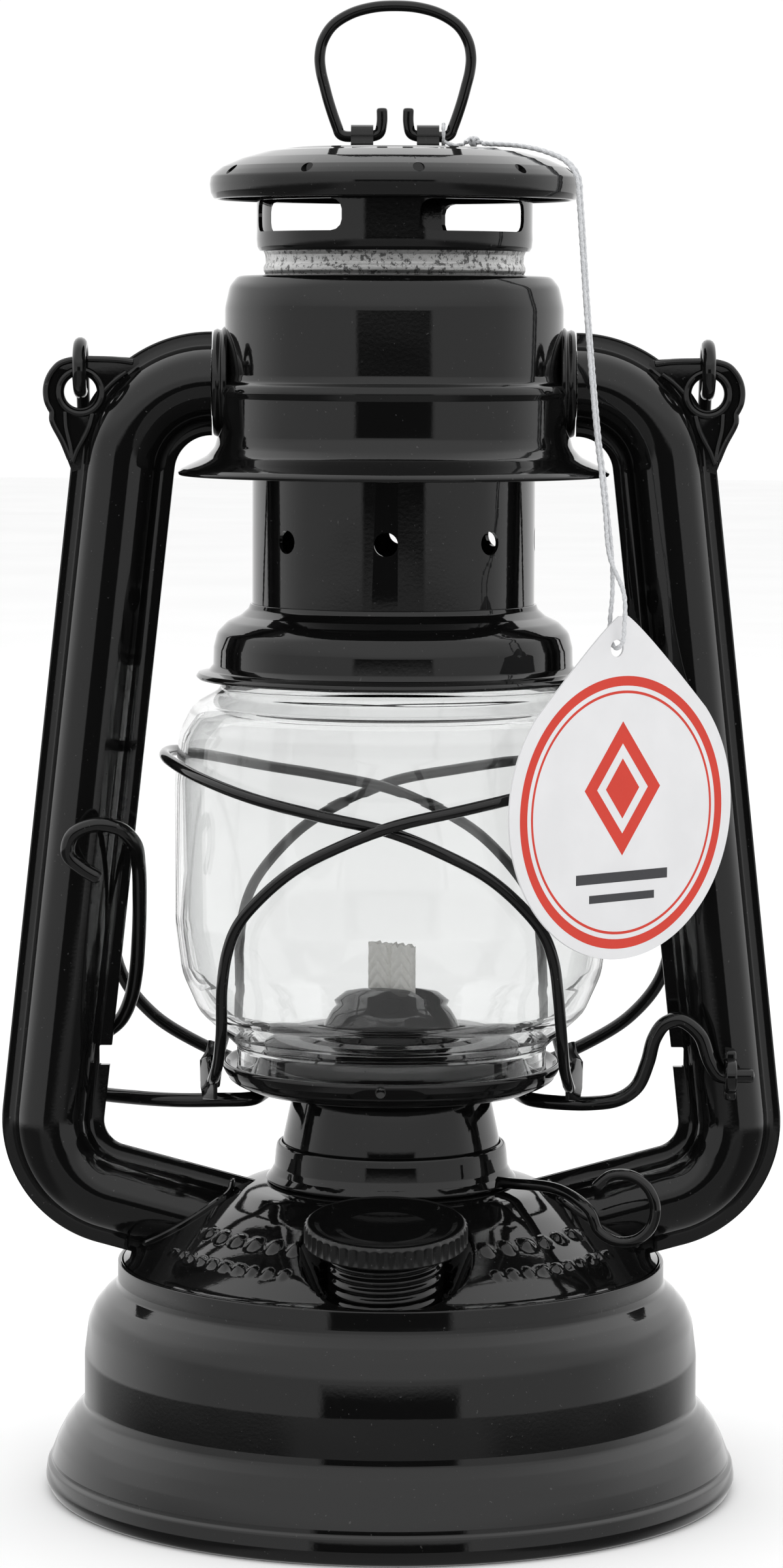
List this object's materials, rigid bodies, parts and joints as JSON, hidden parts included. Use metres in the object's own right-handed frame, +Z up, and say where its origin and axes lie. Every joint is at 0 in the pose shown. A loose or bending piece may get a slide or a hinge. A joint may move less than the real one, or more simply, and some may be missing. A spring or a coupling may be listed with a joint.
{
  "type": "tubular storm lantern",
  "caption": "Black enamelled cold-blast storm lantern with a clear globe, lifting lever, wick knob, screw fuel cap, swinging wire bail, folding top ring and a card tag on a string.",
  "frame": {"origin": "centre of the base rim, on the plane it stands on", "axes": "+Z up, -Y to the front where the fuel cap is, +X to the side with the wick knob and the tag; the side tubes lie in the XZ plane"},
  "size_m": [0.149, 0.1326, 0.2829],
  "materials": {
    "enamel": "deep gloss black enamel on thin steel sheet and wire",
    "bare_steel": "bare speckled tin-plated steel",
    "clear_glass": "clear polished moulded glass",
    "cotton": "flat braided off-white cotton",
    "gasket_cork": "matte pressed cork",
    "tag_card": "matte white card with a printed ring, diamond and bars",
    "twine": "twisted light grey two-ply thread"
  },
  "bodies": {
    "frame": {"tank_shell": "enamel", "tank_bottom": "enamel", "tank_dome": "enamel", "tank_top": "enamel", "filler_neck": "enamel", "burner_collar": "enamel", "burner_base": "bare_steel", "burner_cone": "enamel", "burner_plate": "bare_steel", "burner_dome": "enamel", "wick_tube": "bare_steel", "side_tube_right_front": "enamel", "side_tube_right_rear": "enamel", "side_tube_left_front": "enamel", "side_tube_left_rear": "enamel", "air_chamber": "enamel", "tube_socket_right": "enamel", "tube_socket_left": "enamel", "chimney_spring": "bare_steel", "lifter_bracket": "enamel"},
    "globe_carriage": {"globe_plate": "enamel", "plate_tab_right": "enamel", "plate_tab_left": "enamel", "guard_wire_outer": "enamel", "guard_wire_inner": "enamel", "globe": "clear_glass"},
    "chimney": {"globe_cap": "enamel", "chimney_tube": "enamel", "chimney_sleeve": "bare_steel", "hood_collar": "enamel", "hood_disc": "enamel", "hood_strap": "enamel", "tag_string": "twine", "string_knot": "twine", "string_loop": "twine"},
    "ring": {"lift_ring": "enamel"},
    "tag": {"hang_tag": "tag_card"},
    "bail": {"bail": "enamel"},
    "lifter": {"lifter": "enamel"},
    "knob": {"wick_knob": "enamel", "wick_wheel_inner": "bare_steel", "wick_wheel_outer": "bare_steel"},
    "wick": {"wick": "cotton"},
    "gasket": {"filler_gasket": "gasket_cork"},
    "cap": {"fuel_cap": "enamel"}
  },
  "joints": [
    {"name": "lifter_turn", "type": "hinge", "parent": "frame", "child": "lifter", "pos_m": [0, -0.0098, 0.081], "axis": [1, 0, 0], "range_deg": [0, 22]},
    {"name": "globe_lift", "type": "slide", "parent": "frame", "child": "globe_carriage", "axis": [0, 0, 1], "range_m": [0, 0.0138], "deforming": ["chimney_spring"]},
    {"name": "chimney_slide", "type": "slide", "parent": "globe_carriage", "child": "chimney", "axis": [0, 0, 1], "range_m": [0, 0.01], "stiffness_N_per_m": 100, "springref_m": -0.004, "deforming": ["chimney_spring"]},
    {"name": "ring_fold", "type": "hinge", "parent": "chimney", "child": "ring", "pos_m": [0, 0, 0.2577], "axis": [1, 0, 0], "range_deg": [-90, 80]},
    {"name": "bail_swing", "type": "hinge", "parent": "frame", "child": "bail", "pos_m": [0, 0, 0.2141], "axis": [1, 0, 0], "range_deg": [0, 270]},
    {"name": "wick_turn", "type": "hinge", "parent": "frame", "child": "knob", "pos_m": [0.00212, 0.00291, 0.0605], "axis": [0.809, -0.5878, 0], "range_deg": [-150, 150]},
    {"name": "wick_slide", "type": "slide", "parent": "frame", "child": "wick", "axis": [0, 0, 1], "range_m": [-0.00575, 0.00575]},
    {"name": "cap_lift", "type": "slide", "parent": "frame", "child": "gasket", "axis": [0, -0.1564, 0.9877], "range_m": [0, 0.0039]},
    {"name": "cap_turn", "type": "hinge", "parent": "gasket", "child": "cap", "pos_m": [-0.0009, -0.0386, 0.0442], "axis": [0, -0.1564, 0.9877], "range_deg": [0, 720]},
    {"name": "tag_swing", "type": "hinge", "parent": "chimney", "child": "tag", "pos_m": [0.04129, -0.0254, 0.1631], "axis": [-0.6428, 0.766, 0], "range_deg": [0, 25]}
  ],
  "couplings": [
    {"joint": "lifter_turn", "follows": "globe_lift", "rad_per_m": 27.778},
    {"joint": "wick_turn", "follows": "wick_slide", "rad_per_m": -454.55},
    {"joint": "cap_lift", "follows": "cap_turn", "m_per_rad": 0.0003024}
  ]
}
